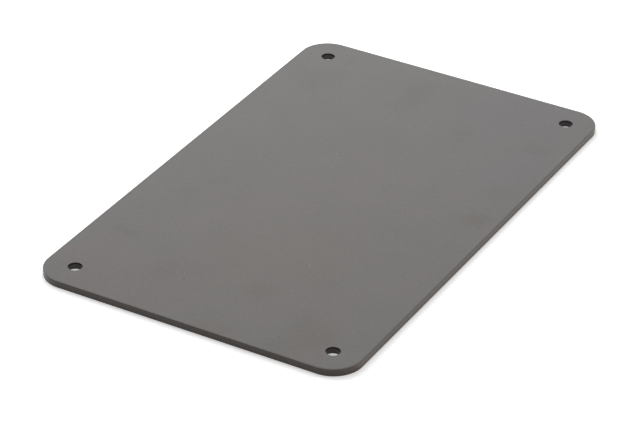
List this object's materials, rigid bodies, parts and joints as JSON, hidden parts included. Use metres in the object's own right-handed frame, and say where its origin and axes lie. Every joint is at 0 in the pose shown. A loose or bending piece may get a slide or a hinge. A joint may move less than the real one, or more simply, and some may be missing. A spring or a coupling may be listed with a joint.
{
  "type": "rectangular cover plate",
  "caption": "Flat rectangular cover plate with rounded corners and a plain screw hole near each corner.",
  "frame": {"origin": "centre of the underside", "axes": "+X along the plate's length, +Y across its width, +Z out of the outer face"},
  "size_m": [0.225, 0.14, 0.003],
  "materials": {
    "grey_coating": "satin"
  },
  "bodies": {
    "root": {"cover_plate": "grey_coating"}
  },
  "joints": []
}
